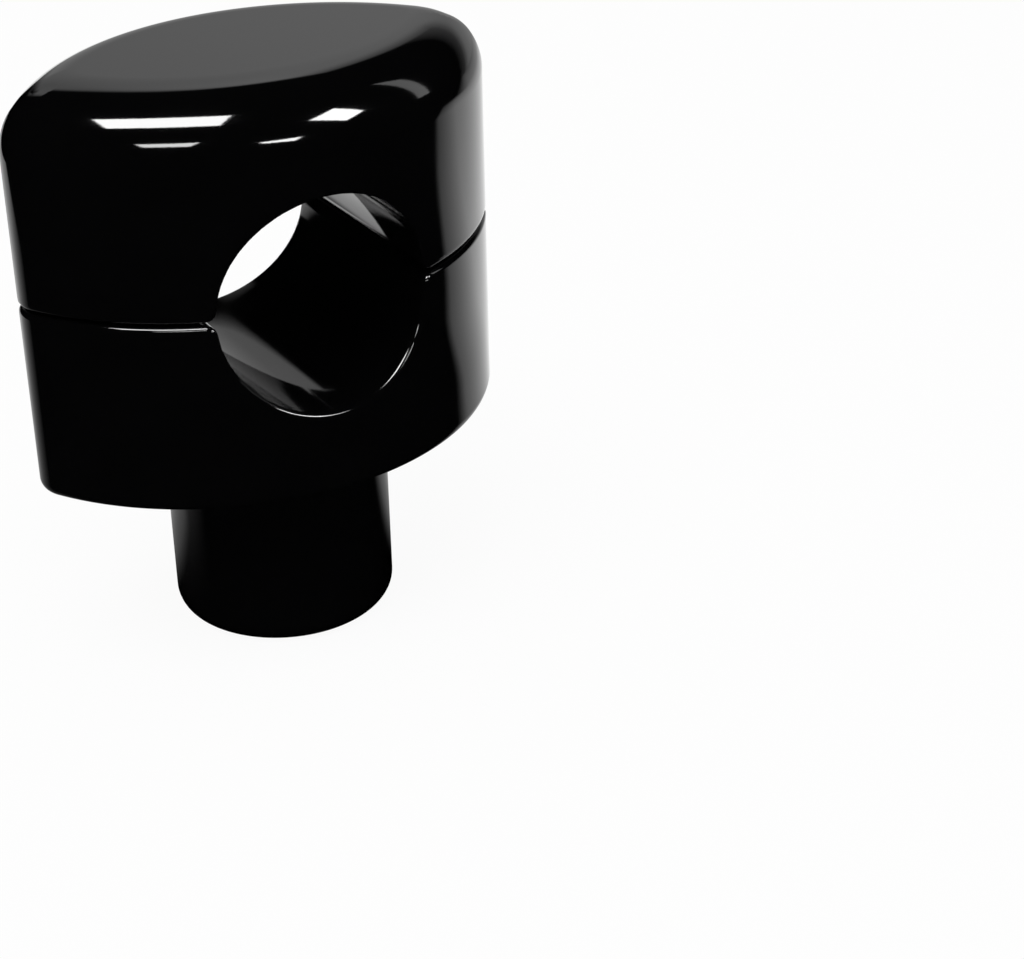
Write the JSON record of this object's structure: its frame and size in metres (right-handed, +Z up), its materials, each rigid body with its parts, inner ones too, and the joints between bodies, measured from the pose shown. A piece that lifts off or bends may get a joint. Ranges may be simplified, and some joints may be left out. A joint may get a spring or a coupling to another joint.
{
  "type": "motorcycle bar riser",
  "caption": "Gloss black handlebar riser with an oval body split along the handlebar bore, a plain rounded cap screwed on from below, and a round stub with a threaded hole underneath.",
  "frame": {"origin": "centre of the stub's flat foot, where it stands on the fork's top clamp", "axes": "+X along the handlebar's axis, +Y along the line of the two clamp screws, +Z up along the mounting bolt's axis, from the foot towards the cap"},
  "size_m": [0.046, 0.073, 0.0878],
  "materials": {
    "body_paint": "gloss black powder coat over cast aluminium",
    "screw_steel": "black oxide"
  },
  "bodies": {
    "root": {"riser_base": "body_paint", "clamp_cap": "body_paint", "front_clamp_screw": "screw_steel", "rear_clamp_screw": "screw_steel"}
  },
  "joints": []
}
